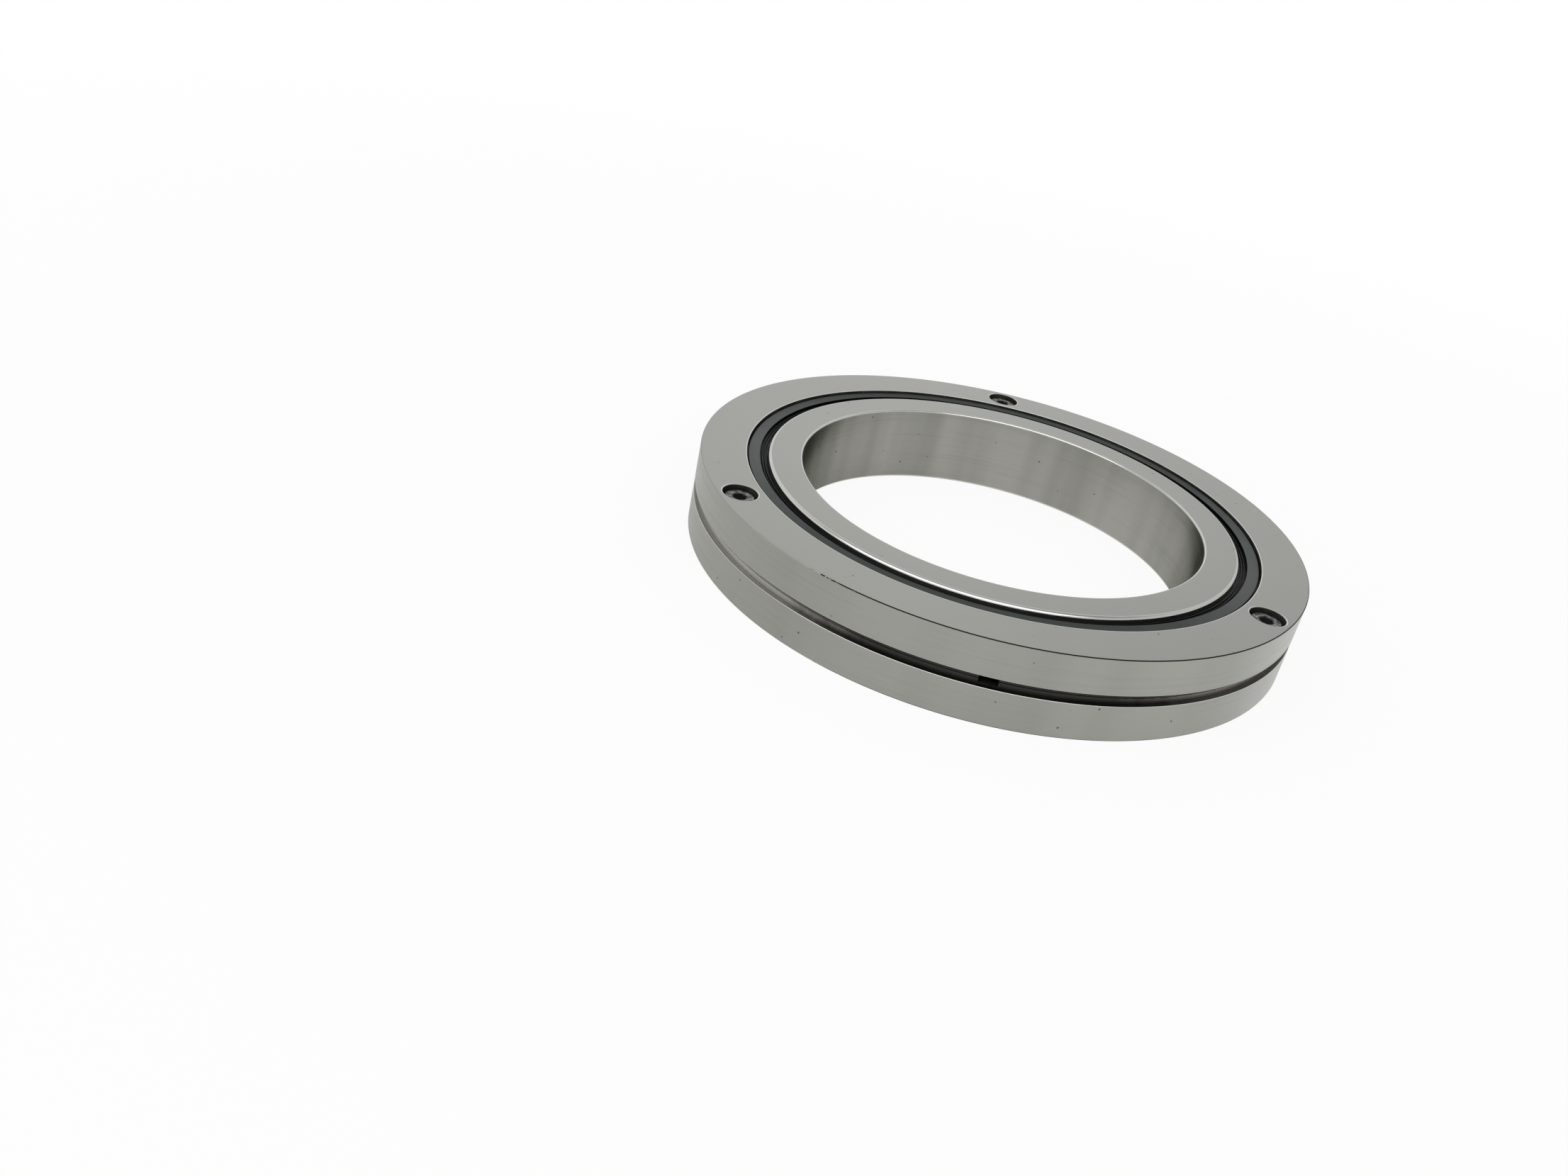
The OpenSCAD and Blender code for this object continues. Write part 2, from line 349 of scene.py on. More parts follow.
# %% [markdown]
# Bearing steel is hardened and then ground. The wheel leaves fine lines that run round the ring,
# so the gloss spreads across them, and use adds a few darker streaks. Soft darker bands across the ring are
# painted reflections.
# Each kind of mark is noise that is stretched along the ring and laid over the steel's own colour.

# %% Ground bearing steel
# Length and width of each kind of mark in millimetres: grinding lines, streaks, and painted reflection bands
# across the ring.
# Then where its noise starts and ends to show, its strongest share and its colour.
# Real grinding lines are finer than a pixel, so they are drawn about ten times as coarse.
MARKS = {
    # Painted reflection: soft darker bands across the ring
    "band": (19.0, 140.0, 0.42, 0.72, 1.0, "#8d8d86"),
    "line": (22.0, 0.3, 0.5, 0.8, 0.1, "#bcbcb8"),
    "streak": (45.0, 0.9, 0.52, 0.8, 0.18, "#8c8c88"),
}
# Share of the marks that a flat face keeps
FLAT_SHARE = 0.12


def ground_steel(name, ground, grazing_shade, reflection_banding):
    """Mid grey and softly shining steel, with fine lines round the axis, soft painted reflection bands and
    small dark specks.
    """
    finish, tree, surface, place = new_finish(name)
    place_mm = add(tree, "ShaderNodeVectorMath", {0: place, "Scale": 1 / MM}, operation="SCALE").outputs[0]
    lay = ring_space(tree, place_mm)

    # The marks show on the upright faces and only faintly on the flat ones, which are ground last. So do the
    # painted reflection bands.
    geometry = add(tree, "ShaderNodeNewGeometry")
    facing = add(tree, "ShaderNodeSeparateXYZ", {0: geometry.outputs["Normal"]})
    flatness = add(tree, "ShaderNodeMath", {0: facing.outputs["Z"]}, operation="ABSOLUTE")
    most = add(tree, "ShaderNodeMapRange", {0: flatness.outputs[0], 1: 0.2, 2: 0.8, 3: 1.0, 4: FLAT_SHARE})
    colour = srgb(ground)
    for kind, (length, breadth, low, high, strongest, tint) in MARKS.items():
        # The painted reflection bands are as strong as each finish asks
        if kind == "band":
            strongest *= reflection_banding
        stretch = (outer_r / length, outer_r / length, 1 / breadth)
        spread = add(tree, "ShaderNodeVectorMath", {0: lay, 1: stretch}, operation="MULTIPLY")
        noise = add(tree, "ShaderNodeTexNoise", {"Vector": spread.outputs[0], "Scale": 1.0, "Detail": 2.0})
        part = add(tree, "ShaderNodeMapRange", {0: noise.outputs["Fac"], 1: low, 2: high, 4: strongest})
        here = add(tree, "ShaderNodeMath", {0: part.outputs[0], 1: most.outputs[0]}, operation="MULTIPLY")
        tinted = add(
            tree,
            "ShaderNodeMix",
            {0: here.outputs[0], MIX_A: colour, MIX_B: srgb(tint)},
            data_type="RGBA",
        )
        colour = tinted.outputs[MIX_OUT]

    speck = specks(tree, place_mm)
    specked = add(
        tree,
        "ShaderNodeMix",
        {0: speck, MIX_A: colour, MIX_B: srgb("#3a3a36")},
        data_type="RGBA",
    )
    # The streaks, which are the last of the marks, are also a little duller
    gloss = add(tree, "ShaderNodeMapRange", {0: here.outputs[0], 1: 0.0, 2: strongest, 3: 0.28, 4: 0.36})
    dents = add(
        tree,
        "ShaderNodeBump",
        {"Height": speck, "Strength": 0.5, "Distance": 0.05 * MM},
        invert=True,
    )
    grain = add(tree, "ShaderNodeTangent", direction_type="RADIAL", axis="Z")
    surface.inputs["Metallic"].default_value = 1.0
    surface.inputs["Anisotropic"].default_value = 0.5
    surface.inputs["Anisotropic Rotation"].default_value = 0.25
    # A darker tint darkens the reflections where they graze, as painted shade
    surface.inputs["Specular Tint"].default_value = srgb(grazing_shade)
    tree.links.new(specked.outputs[MIX_OUT], surface.inputs["Base Color"])
    tree.links.new(gloss.outputs[0], surface.inputs["Roughness"])
    tree.links.new(dents.outputs[0], surface.inputs["Normal"])
    tree.links.new(grain.outputs[0], surface.inputs["Tangent"])
    print(finish.name, len(tree.nodes), "nodes")
    return finish


# The last two numbers are the tint of grazing reflections, which paints shade where it is darker, and the
# strength of the painted reflection bands
steel = ground_steel("ground_bearing_steel", "#a5a5a0", "#ffffff", 0.35)
# The bore is honed. Its reflections are darkened where they graze, as painted shade, so its ends look dark, and
# its painted reflection bands are stronger
bore_steel = ground_steel("honed_bore_steel", "#a9a8a3", "#8c908a", 0.9)

# %% [markdown]
# Rounded edges are finished by hand with a fine stone, which leaves them smoother than the ground faces.
# They mirror the softbox as a clean white line. Their steel is glossier, and brighter than the ground steel as
# a painted highlight.
# No surface has one even colour, so a helper lets it drift between two tints.
# It serves for later finishes too.


# %% Stoned edge steel
def mottled(name, size, detail, dark, light):
    """A finish whose colour drifts between two tints, with noise of this size in millimetres."""
    finish, tree, surface, place = new_finish(name)
    noise = add(tree, "ShaderNodeTexNoise", {"Vector": place, "Scale": 1 / (size * MM), "Detail": detail})
    drift = noise.outputs["Fac"]
    colour = add(
        tree,
        "ShaderNodeMix",
        {0: drift, MIX_A: srgb(dark), MIX_B: srgb(light)},
        data_type="RGBA",
    )
    tree.links.new(colour.outputs[MIX_OUT], surface.inputs["Base Color"])
    return finish, tree, surface, drift


# Nearly mirror-like, and brighter than the ground steel as a painted highlight, in a band less than a
# millimetre wide
RUBS = 5.0
stoned_highlight_edge, tree, surface, rubs = mottled("stoned_edge_steel_painted_highlight", RUBS, 4.0, "#c2c2be", "#d8d8d4")
gloss = add(tree, "ShaderNodeMapRange", {0: rubs, 1: 0.3, 2: 0.7, 3: 0.13, 4: 0.22})
surface.inputs["Metallic"].default_value = 1.0
tree.links.new(gloss.outputs[0], surface.inputs["Roughness"])
print(stoned_highlight_edge.name, len(tree.nodes), "nodes")

# %% [markdown]
# Where the grinding wheel doesn't reach, the steel keeps the dark scale of its hardening.
# That is so in the screw holes and the oil slots. It is near-black and matt, with a greyer film in patches.
# The same finish also serves as painted shade on the wall of the seal's recess and as a painted shadow in the
# groove's root.

# %% Hardening scale
# Near-black and dull, turning grey where the light grazes it
scale, tree, surface, place = new_finish("hardening_scale_and_painted_shade")
PATCH = 3.5
patches = add(
    tree,
    "ShaderNodeTexNoise",
    {"Vector": place, "Scale": 1 / (PATCH * MM), "Detail": 4.0, "Roughness": 0.65},
)
film = add(tree, "ShaderNodeMapRange", {0: patches.outputs["Fac"], 1: 0.45, 2: 0.75, 3: 0.0, 4: 0.7})
colour = add(
    tree,
    "ShaderNodeMix",
    {0: film.outputs[0], MIX_A: srgb("#191917"), MIX_B: srgb("#3a3935")},
    data_type="RGBA",
)
dull = add(tree, "ShaderNodeMapRange", {0: patches.outputs["Fac"], 1: 0.3, 2: 0.7, 3: 0.42, 4: 0.6})
crust = add(
    tree,
    "ShaderNodeBump",
    {"Height": patches.outputs["Fac"], "Strength": 0.3, "Distance": 0.05 * MM},
)
surface.inputs["Specular IOR Level"].default_value = 0.4
tree.links.new(colour.outputs[MIX_OUT], surface.inputs["Base Color"])
tree.links.new(dull.outputs[0], surface.inputs["Roughness"])
tree.links.new(crust.outputs[0], surface.inputs["Normal"])
print(scale.name, len(tree.nodes), "nodes")

# %% [markdown]
# The oil groove is turned and never ground, so it is a duller and darker steel than the rest.
# Towards the front the groove is painted near-black as a dark reflection.
# Its share follows the direction round the axis, broken up by noise, so it fades out to both sides.
# Towards -X the groove is painted paler as painted light, nearly as pale as the outside.

# %% Painted reflection and light in the groove
groove_steel, tree, surface, place = new_finish("turned_groove_steel")
STREAK = 4.0
DARK_SIDE = math.radians(-88)
# How closely a direction has to point to the dark side for the painted reflection to start and to be full
DARK_FROM, DARK_FULL = 0.76, 0.95
# The direction's part along X at which the groove is painted fully pale, and not pale at all
LIT_ALL, LIT_NONE = -0.75, -0.38
streaks = add(
    tree,
    "ShaderNodeTexNoise",
    {"Vector": place, "Scale": 1 / (STREAK * MM), "Detail": 5.0, "Roughness": 0.7},
)
_, round_way = round_axis(tree, place)
dark_way = (math.cos(DARK_SIDE), math.sin(DARK_SIDE), 0.0)
toward_dark = add(tree, "ShaderNodeVectorMath", {0: round_way, 1: dark_way}, operation="DOT_PRODUCT")
# Noise moves the painted reflection's edge by up to a tenth either way
ragged = add(tree, "ShaderNodeMath", {0: streaks.outputs["Fac"], 1: 0.2, 2: -0.1}, operation="MULTIPLY_ADD")
dark_facing = add(tree, "ShaderNodeMath", {0: toward_dark.outputs["Value"], 1: ragged.outputs[0]}, operation="ADD")
dark_reflection = add(
    tree,
    "ShaderNodeMapRange",
    {0: dark_facing.outputs[0], 1: DARK_FROM, 2: DARK_FULL},
    interpolation_type="SMOOTHSTEP",
)
sideways = add(tree, "ShaderNodeSeparateXYZ", {0: round_way})
painted_lit = add(
    tree,
    "ShaderNodeMapRange",
    {0: sideways.outputs["X"], 1: LIT_ALL, 2: LIT_NONE, 3: 1.0, 4: 0.0},
)
print("oil gathers at", round(math.degrees(DARK_SIDE)), "degrees")

# %% [markdown]
# The groove's colour is mixed in this order: the turned steel, its side painted paler as light,
# the painted dark reflection on top, and last the crumbs of dirt, painted bright as glints, which show only
# outside the dark reflection.

# %% Turned groove steel
# Brownish grey and satin, near-black under the painted dark reflection, with a few crumbs painted bright as
# glints
turned_grey = add(
    tree,
    "ShaderNodeMix",
    {0: streaks.outputs["Fac"], MIX_A: srgb("#72706a"), MIX_B: srgb("#918f89")},
    data_type="RGBA",
)
# Painted light: paler towards -X
side_lit_grey = add(
    tree,
    "ShaderNodeMix",
    {0: painted_lit.outputs[0], MIX_A: turned_grey.outputs[MIX_OUT], MIX_B: srgb("#bab9b4")},
    data_type="RGBA",
)
# Painted dark reflection towards the front
reflection_darkened = add(
    tree,
    "ShaderNodeMix",
    {0: dark_reflection.outputs[0], MIX_A: side_lit_grey.outputs[MIX_OUT], MIX_B: srgb("#3d3c39")},
    data_type="RGBA",
)
CRUMB = 0.5
crumbs = add(
    tree,
    "ShaderNodeTexNoise",
    {"Vector": place, "Scale": 1 / (CRUMB * MM), "Detail": 2.0},
)
outside_dark = add(tree, "ShaderNodeMath", {0: 1.0, 1: dark_reflection.outputs[0]}, operation="SUBTRACT")
crumb_spots = add(tree, "ShaderNodeMapRange", {0: crumbs.outputs["Fac"], 1: 0.68, 2: 0.74, 3: 0.0, 4: 0.8})
crumb_glint_share = add(
    tree,
    "ShaderNodeMath",
    {0: crumb_spots.outputs[0], 1: outside_dark.outputs[0]},
    operation="MULTIPLY",
)
# Crumbs of dirt, painted bright as their glints
crumb_glinted = add(
    tree,
    "ShaderNodeMix",
    {0: crumb_glint_share.outputs[0], MIX_A: reflection_darkened.outputs[MIX_OUT], MIX_B: srgb("#b9b7b0")},
    data_type="RGBA",
)
crust = add(
    tree,
    "ShaderNodeBump",
    {"Height": crumb_glint_share.outputs[0], "Strength": 0.3, "Distance": 0.03 * MM},
)
surface.inputs["Metallic"].default_value = 1.0
surface.inputs["Roughness"].default_value = 0.42
tree.links.new(crumb_glinted.outputs[MIX_OUT], surface.inputs["Base Color"])
tree.links.new(crust.outputs[0], surface.inputs["Normal"])
print(groove_steel.name, len(tree.nodes), "nodes")

# %% [markdown]
# The outer edges are only broken by hand, so each is a hair-thin facet full of tiny nicks.
# Dirt sits in the nicks and draws the edge as a dark, slightly dashed line.
# On one side of the ring it has been rubbed clean.

# %% Nicked edge
# A thin dark line with bright dashes in it, fading to plain steel on the rubbed side
edge_steel, tree, surface, place = new_finish("hand_broken_edge_steel")
DASH = 0.7
STRETCH = 7.0
RUBBED_SIDE = math.radians(178)
dashes = add(
    tree,
    "ShaderNodeTexNoise",
    {"Vector": place, "Scale": 1 / (DASH * MM), "Detail": 2.0},
)
stretches = add(
    tree,
    "ShaderNodeTexNoise",
    {"Vector": place, "Scale": 1 / (STRETCH * MM), "Detail": 2.0},
)
_, round_way = round_axis(tree, place)
rubbed_way = (math.cos(RUBBED_SIDE), math.sin(RUBBED_SIDE), 0.0)
rubbed = add(tree, "ShaderNodeVectorMath", {0: round_way, 1: rubbed_way}, operation="DOT_PRODUCT")
clean = add(tree, "ShaderNodeMapRange", {0: rubbed.outputs["Value"], 1: 0.2, 2: 0.6, 3: 0.0, 4: 0.75})
unclean = add(
    tree,
    "ShaderNodeMath",
    {0: dashes.outputs["Fac"], 1: stretches.outputs["Fac"]},
    operation="ADD",
)
left = add(tree, "ShaderNodeMath", {0: unclean.outputs[0], 1: clean.outputs[0]}, operation="SUBTRACT")
dirt = add(tree, "ShaderNodeMapRange", {0: left.outputs[0], 1: 0.5, 2: 0.7})
colour = add(
    tree,
    "ShaderNodeMix",
    {0: dirt.outputs[0], MIX_A: srgb("#a2a29d"), MIX_B: srgb("#25241f")},
    data_type="RGBA",
)
surface.inputs["Metallic"].default_value = 1.0
surface.inputs["Roughness"].default_value = 0.45
tree.links.new(colour.outputs[MIX_OUT], surface.inputs["Base Color"])
print(edge_steel.name, len(tree.nodes), "nodes")

# %% [markdown]
# A ring is a turned piece, so it starts as its own section: a line of a few points in one half plane.
# Spinning that line a full turn about the axis gives the solid, just as the lathe does.
# Both faces of this bearing are alike, so a second helper turns a finished mesh over.


# %% Helpers for turned pieces
STEPS = 384


def turned_piece(points, closed=True, steps=STEPS, about=(0.0, 0.0)):
    """A mesh spun from a section of (radius, height) points in millimetres. An open one ends on the axis."""
    bm = bmesh.new()
    axis = Vector((*about, 0.0)) * MM
    corners = [bm.verts.new(axis + Vector((r, 0, z)) * MM) for r, z in points]
    first = 0 if closed else 1
    sides = [bm.edges.new((corners[i - 1], corners[i])) for i in range(first, len(corners))]
    bmesh.ops.spin(
        bm,
        geom=corners + sides,
        cent=axis,
        axis=(0, 0, 1),
        angle=TURN,
        steps=steps,
        use_merge=True,
    )
    bmesh.ops.remove_doubles(bm, verts=bm.verts, dist=0.001 * MM)
    bmesh.ops.recalc_face_normals(bm, faces=bm.faces)
    return bm


def turned_over(bm):
    """Mirror a mesh in the plane of the split, so that one section serves both faces of the bearing."""
    to_split = Matrix.Translation((0, 0, split * MM))
    flip = to_split @ Matrix.Scale(-1, 4, (0, 0, 1)) @ to_split.inverted()
    bmesh.ops.transform(bm, matrix=flip, verts=bm.verts)
    bmesh.ops.recalc_face_normals(bm, faces=bm.faces)
    return bm


print("turned pieces have", STEPS, "steps")

# %% [markdown]
# A turned piece has rings of edges and faces, and each of them has one radius and one height.
# So the helpers below find an edge or a face by these two numbers, to round it off or to give it a finish.
# A list of face numbers would change with the number of steps, and these two don't.

# %% Helpers for edges and faces
# Two places nearer than this, in millimetres, count as one
CLOSE = 0.01


def ring_edges(bm, r, z, about=(0.0, 0.0)):
    """The edges that run round the axis at one radius and height, in millimetres."""
    axis = Vector(about) * MM

    def there(vert):
        return abs((vert.co.xy - axis).length / MM - r) < CLOSE and abs(vert.co.z / MM - z) < CLOSE

    return [edge for edge in bm.edges if there(edge.verts[0]) and there(edge.verts[1])]


def round_off(bm, edges, size, segments):
    """Round edges over to this size in millimetres."""
    bmesh.ops.bevel(
        bm,
        geom=edges,
        offset=size * MM,
        offset_type="OFFSET",
        affect="EDGES",
        segments=segments,
        profile=0.5,
        clamp_overlap=True,
        material=-1,
    )


def colour_faces(bm, index, test):
    """Give a material's number to the faces whose middle passes the test on radius and height."""
    for face in bm.faces:
        middle = face.calc_center_median()
        if test(middle.xy.length / MM, middle.z / MM):
            face.material_index = index


print("places within", CLOSE, "mm count as one")

# %% [markdown]
# A finished mesh becomes a piece in one place: holes are cut with Boolean modifiers, sharp edges are marked,
# and the normals are weighted by area so that a wide flat face stays flat beside a small rounding.
# The modifiers are applied, so the mesh itself holds what is seen.


# %% Helpers for pieces
SHARP = math.radians(50)


def applied(piece):
    """Bake a piece's modifiers into a mesh of its own."""
    before = piece.data
    depsgraph = bpy.context.evaluated_depsgraph_get()
    piece.data = bpy.data.meshes.new_from_object(piece.evaluated_get(depsgraph))
    piece.modifiers.clear()
    bpy.data.meshes.remove(before)
    piece.data.name = piece.name


def shown(name, bm, finishes):
    """Put a bmesh into the scene under this name, with its finishes in order."""
    mesh = bpy.data.meshes.new(name)
    bm.to_mesh(mesh)
    bm.free()
    for finish in finishes:
        mesh.materials.append(finish)
    piece = bpy.data.objects.new(name, mesh)
    bpy.context.scene.collection.objects.link(piece)
    return piece


def make_piece(name, bm, finishes, cutters=()):
    """Turn a bmesh into a piece: cut it, mark its sharp edges and even out its shading."""
    piece = shown(name, bm, finishes)
    for cutter in cutters:
        cut = piece.modifiers.new("cut", "BOOLEAN")
        cut.object = cutter
        cut.operation = "DIFFERENCE"
        cut.solver = "EXACT"
    if cutters:
        applied(piece)
    piece.data.shade_smooth()
    piece.data.set_sharp_from_angle(angle=SHARP)
    even = piece.modifiers.new("even", "WEIGHTED_NORMAL")
    even.keep_sharp = True
    applied(piece)
    return piece


print("edges sharper than", round(math.degrees(SHARP)), "degrees stay sharp")

# %% [markdown]
# A finished piece is told which solid it stands for and which body it moves with.
# The plain solid then disappears from view, and the piece follows every joint in its stead.


# %% Helpers for the frame
def dress(piece, node, body):
    """Let a piece stand for its CAD node and move with that node's body."""
    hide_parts(node)
    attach(piece, body)
    print(piece.name, len(piece.data.polygons), "faces, stands for", node)


def put_away(tools):
    """Remove cutters once their cuts are made."""
    for tool in tools:
        mesh = tool.data
        bpy.data.objects.remove(tool)
        bpy.data.meshes.remove(mesh)


# %% [markdown]
# The inner ring is one piece. Its outside has the V-shaped raceway with a small relief at its root,
# a shoulder above and below it, and a narrower track on which the seal's lip runs.
# The edge beside the seal is well rounded, and so is each end of the bore:
# they catch the light in the photograph.

# %% Inner ring
# Sizes in millimetres, as in the solids
ROLLER_R = 3.0
RACE_GAP = 0.1
RELIEF_W = 1.0
RELIEF_DEPTH = 0.25
RING_GAP = 1.6
TRACK_IN = 3.0
TRACK_DEPTH = 3.0
BORE_EDGE = 0.5
SHOULDER_EDGE = 0.8
EDGE_BREAK = 0.12
# Faces that aren't picked out stay ground steel, which is number 0
inner_finishes = [steel, stoned_highlight_edge, bore_steel]
STONED_HIGHLIGHT, HONED = range(1, len(inner_finishes))

# From the middle of a roller to the root of the raceway's V
reach = (ROLLER_R + RACE_GAP) * math.sqrt(2)
track_r = pitch_r - TRACK_IN
root_r = pitch_r - reach
land_r = pitch_r - RING_GAP / 2
upper = [
    (root_r - RELIEF_DEPTH, RELIEF_W / 2),
    (root_r + RELIEF_W / 2, RELIEF_W / 2),
    (land_r, land_r - root_r),
    (land_r, split - TRACK_DEPTH),
    (track_r, split - TRACK_DEPTH),
    (track_r, split),
    (bore_r, split),
]
section = [(r, split + z) for r, z in upper] + [(r, split - z) for r, z in reversed(upper)]
bm = turned_piece(section)
for end_z in (0, width):
    round_off(bm, ring_edges(bm, bore_r, end_z), BORE_EDGE, 4)
    round_off(bm, ring_edges(bm, track_r, end_z), SHOULDER_EDGE, 6)
for land_z in (split - TRACK_DEPTH, TRACK_DEPTH - split):
    round_off(bm, ring_edges(bm, land_r, split + land_z), EDGE_BREAK, 2)
# The rounded edges get the stoned steel, whose brighter colour is a painted highlight, and the bore the honed
# steel
colour_faces(bm, STONED_HIGHLIGHT, lambda r, z: r < bore_r + BORE_EDGE and abs(z - split) > split - BORE_EDGE)
colour_faces(bm, STONED_HIGHLIGHT, lambda r, z: r > track_r - SHOULDER_EDGE and abs(z - split) > split - SHOULDER_EDGE)
colour_faces(bm, HONED, lambda r, z: r < bore_r + CLOSE and abs(z - split) < split - BORE_EDGE)
inner_ring = make_piece("ground_inner_ring", bm, inner_finishes)
dress(inner_ring, "inner_ring", "inner")

# %% [markdown]
# The outer ring is split at half height so that the rollers can be put in. Both halves share one section.
# The half grooves meet and make the oil groove round the outside, and the seam lies at its bottom.
# The section runs from the raceway past the seal's recess and the flat face to the groove.

# %% Section of the outer ring
GROOVE_W = 2.6
GROOVE_DEPTH = 1.2
OUTER_EDGE = 0.2
# Width of a strip of flat face round the recess, painted bright as a highlight line
RIM_SHINE = 0.25
SEAM_EDGE = 0.08
RECESS_OUT = 2.25
SEAL_SINK = 0.6
SEAL_T = 1.8
BEAD_H = 1.0
BEAD_CATCH = 0.4

recess_r = pitch_r + RECESS_OUT
seat_z = split - SEAL_SINK - SEAL_T
groove_r = outer_r - GROOVE_DEPTH
race_r = pitch_r + reach
rim_r = pitch_r + RING_GAP / 2
half_section = [
    (race_r + RELIEF_DEPTH, 0.0),
    (race_r + RELIEF_DEPTH, RELIEF_W / 2),
    (race_r - RELIEF_W / 2, RELIEF_W / 2),
    (rim_r, race_r - rim_r),
    (rim_r, seat_z),
    (recess_r + BEAD_CATCH, seat_z),
    (recess_r + BEAD_CATCH, seat_z + BEAD_H),
    (recess_r, seat_z + BEAD_H),
    (recess_r, split),
    (recess_r + RIM_SHINE, split),
    (outer_r, split),
    (outer_r, GROOVE_W / 2),
    (groove_r, GROOVE_W / 2),
    (groove_r, 0.0),
]
print(f"groove root {groove_r:.2f}, recess {recess_r:.2f}, seat of the seal {split + seat_z:.2f} mm")

# %% [markdown]
# The spun half gets its edges rounded off, and then its finishes. The groove and the outer edges
# have finishes of their own, so their faces are picked out by radius and height.
# Part of the groove's root, under its lip, is painted dark as a shadow.
# An extra point in the section gives that painted shadow an edge to end at.

# %% Half of the outer ring
# As on the inner ring, number 0 is ground steel
outer_finishes = [steel, scale, groove_steel, edge_steel, stoned_highlight_edge]
DARK, TURNED, NICKED, HIGHLIGHT = range(1, len(outer_finishes))


def outer_half(corner):
    """The upper half of the outer ring, before its holes. Above this height the groove's root is painted dark
    as a shadow.
    """
    points = half_section[:-1] + [(groove_r, corner), half_section[-1]]
    bm = turned_piece([(r, split + z) for r, z in points])
    round_off(bm, ring_edges(bm, outer_r, width), OUTER_EDGE, 2)
    round_off(bm, ring_edges(bm, recess_r, width), EDGE_BREAK, 2)
    round_off(bm, ring_edges(bm, outer_r, split + GROOVE_W / 2), EDGE_BREAK, 2)
    round_off(bm, ring_edges(bm, groove_r, split), SEAM_EDGE, 1)
    groove_in = groove_r - SEAM_EDGE - CLOSE
    groove_out = outer_r - EDGE_BREAK
    groove_top = split + GROOVE_W / 2
    colour_faces(bm, TURNED, lambda r, z: groove_in < r < groove_out and z < groove_top + CLOSE)
    # Painted shadow: the groove's root under its lip gets the dark scale
    colour_faces(bm, DARK, lambda r, z: abs(r - groove_r) < CLOSE and split + corner < z < groove_top)
    colour_faces(bm, NICKED, lambda r, z: r > outer_r - OUTER_EDGE and z > width - OUTER_EDGE)
    # Painted shade: the recess wall gets the dark scale, which draws the dark gap beside the seal
    colour_faces(bm, DARK, lambda r, z: abs(r - recess_r) < CLOSE and z < width - EDGE_BREAK)
    # Painted highlight: the recess's rim with a strip of flat face, and the groove's outer edge, get the
    # brighter stoned steel
    colour_faces(bm, HIGHLIGHT, lambda r, z: r < recess_r + RIM_SHINE and z > width - EDGE_BREAK)
    colour_faces(bm, HIGHLIGHT, lambda r, z: r > groove_out and z < groove_top + EDGE_BREAK)
    return bm


print("finishes of the outer ring:", [finish.name for finish in outer_finishes])

# %% [markdown]
# Three counterbored holes take the screws, and three slots lead oil from the groove to the rollers.
# Each is cut with a body of its own shape: a spun plug for a hole and a block for a slot.
# Round each counterbore a shallow rim is left, as a countersink leaves it, and it is painted bright as a
# highlight.

# %% Sections of the holes
HEAD_R = 3.5
HEAD_GAP = 0.65
HEAD_H = 4.0
HEAD_SINK = 1.0
SHANK_R = 2.0
SHANK_GAP = 0.25
THREAD_GAP = 0.05
TAP_DEPTH = 6.5
# Width of the shallow rim round a counterbore, which is painted bright as a highlight
HOLE_RIM = 0.48
RIM_DEPTH = 0.03
# How far a cutter reaches past the face that it cuts
THROUGH = 1.0

screw_names = sorted(name for name in frame["nodes"] if name.startswith("clamp_screw"))
screw_places = [sum(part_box(name), Vector()) / 2 / MM for name in screw_names]
screw_seat = width - HEAD_SINK - HEAD_H
hole_r = HEAD_R + HEAD_GAP
hole_section = [
    (0.0, split - THROUGH),
    (SHANK_R + SHANK_GAP, split - THROUGH),
    (SHANK_R + SHANK_GAP, screw_seat),
    (hole_r, screw_seat),
    (hole_r, width - EDGE_BREAK),
    (hole_r + EDGE_BREAK, width - RIM_DEPTH),
    (hole_r + HOLE_RIM, width + RIM_DEPTH),
    (hole_r + HOLE_RIM, width + THROUGH),
    (0.0, width + THROUGH),
]
tap_section = [
    (0.0, split - TAP_DEPTH),
    (SHANK_R + THREAD_GAP, split - TAP_DEPTH),
    (SHANK_R + THREAD_GAP, split + THROUGH),
    (0.0, split + THROUGH),
]
print(f"counterbores {2 * hole_r:.2f} mm wide, screws seated at {screw_seat:.2f} mm")

# %% [markdown]
# A cutter is an ordinary object that is removed once its cut is made.
# Its faces carry the scale's number, so the walls that it leaves come out dark.

# %% Cutters
SLOT_W = 4.3
SLOT_H = 2.0
HOLE_STEPS = 96


def plug(name, section, place):
    """A spun cutter on a screw's axis. Its rim at the top face gets the painted highlight, and the rest is
    dark.
    """
    bm = turned_piece(section, closed=False, steps=HOLE_STEPS, about=place.xy)
    for face in bm.faces:
        face.material_index = HIGHLIGHT if face.calc_center_median().z / MM > width - EDGE_BREAK else DARK
    return shown(name, bm, outer_finishes)


def slot_block(name, place):
    """A block from the groove to the raceway, opposite a screw."""
    inside = race_r - RELIEF_W / 2 - THROUGH
    outside = groove_r + THROUGH
    bm = bmesh.new()
    bmesh.ops.create_cube(bm, size=1.0)
    bmesh.ops.scale(bm, vec=Vector((outside - inside, SLOT_W, SLOT_H)) * MM, verts=bm.verts)
    bmesh.ops.translate(bm, vec=Vector(((outside + inside) / 2, 0, split)) * MM, verts=bm.verts)
    turn = Matrix.Rotation(math.atan2(-place.y, -place.x), 3, "Z")
    bmesh.ops.rotate(bm, cent=(0, 0, 0), matrix=turn, verts=bm.verts)
    for face in bm.faces:
        face.material_index = DARK
    return shown(name, bm, outer_finishes)


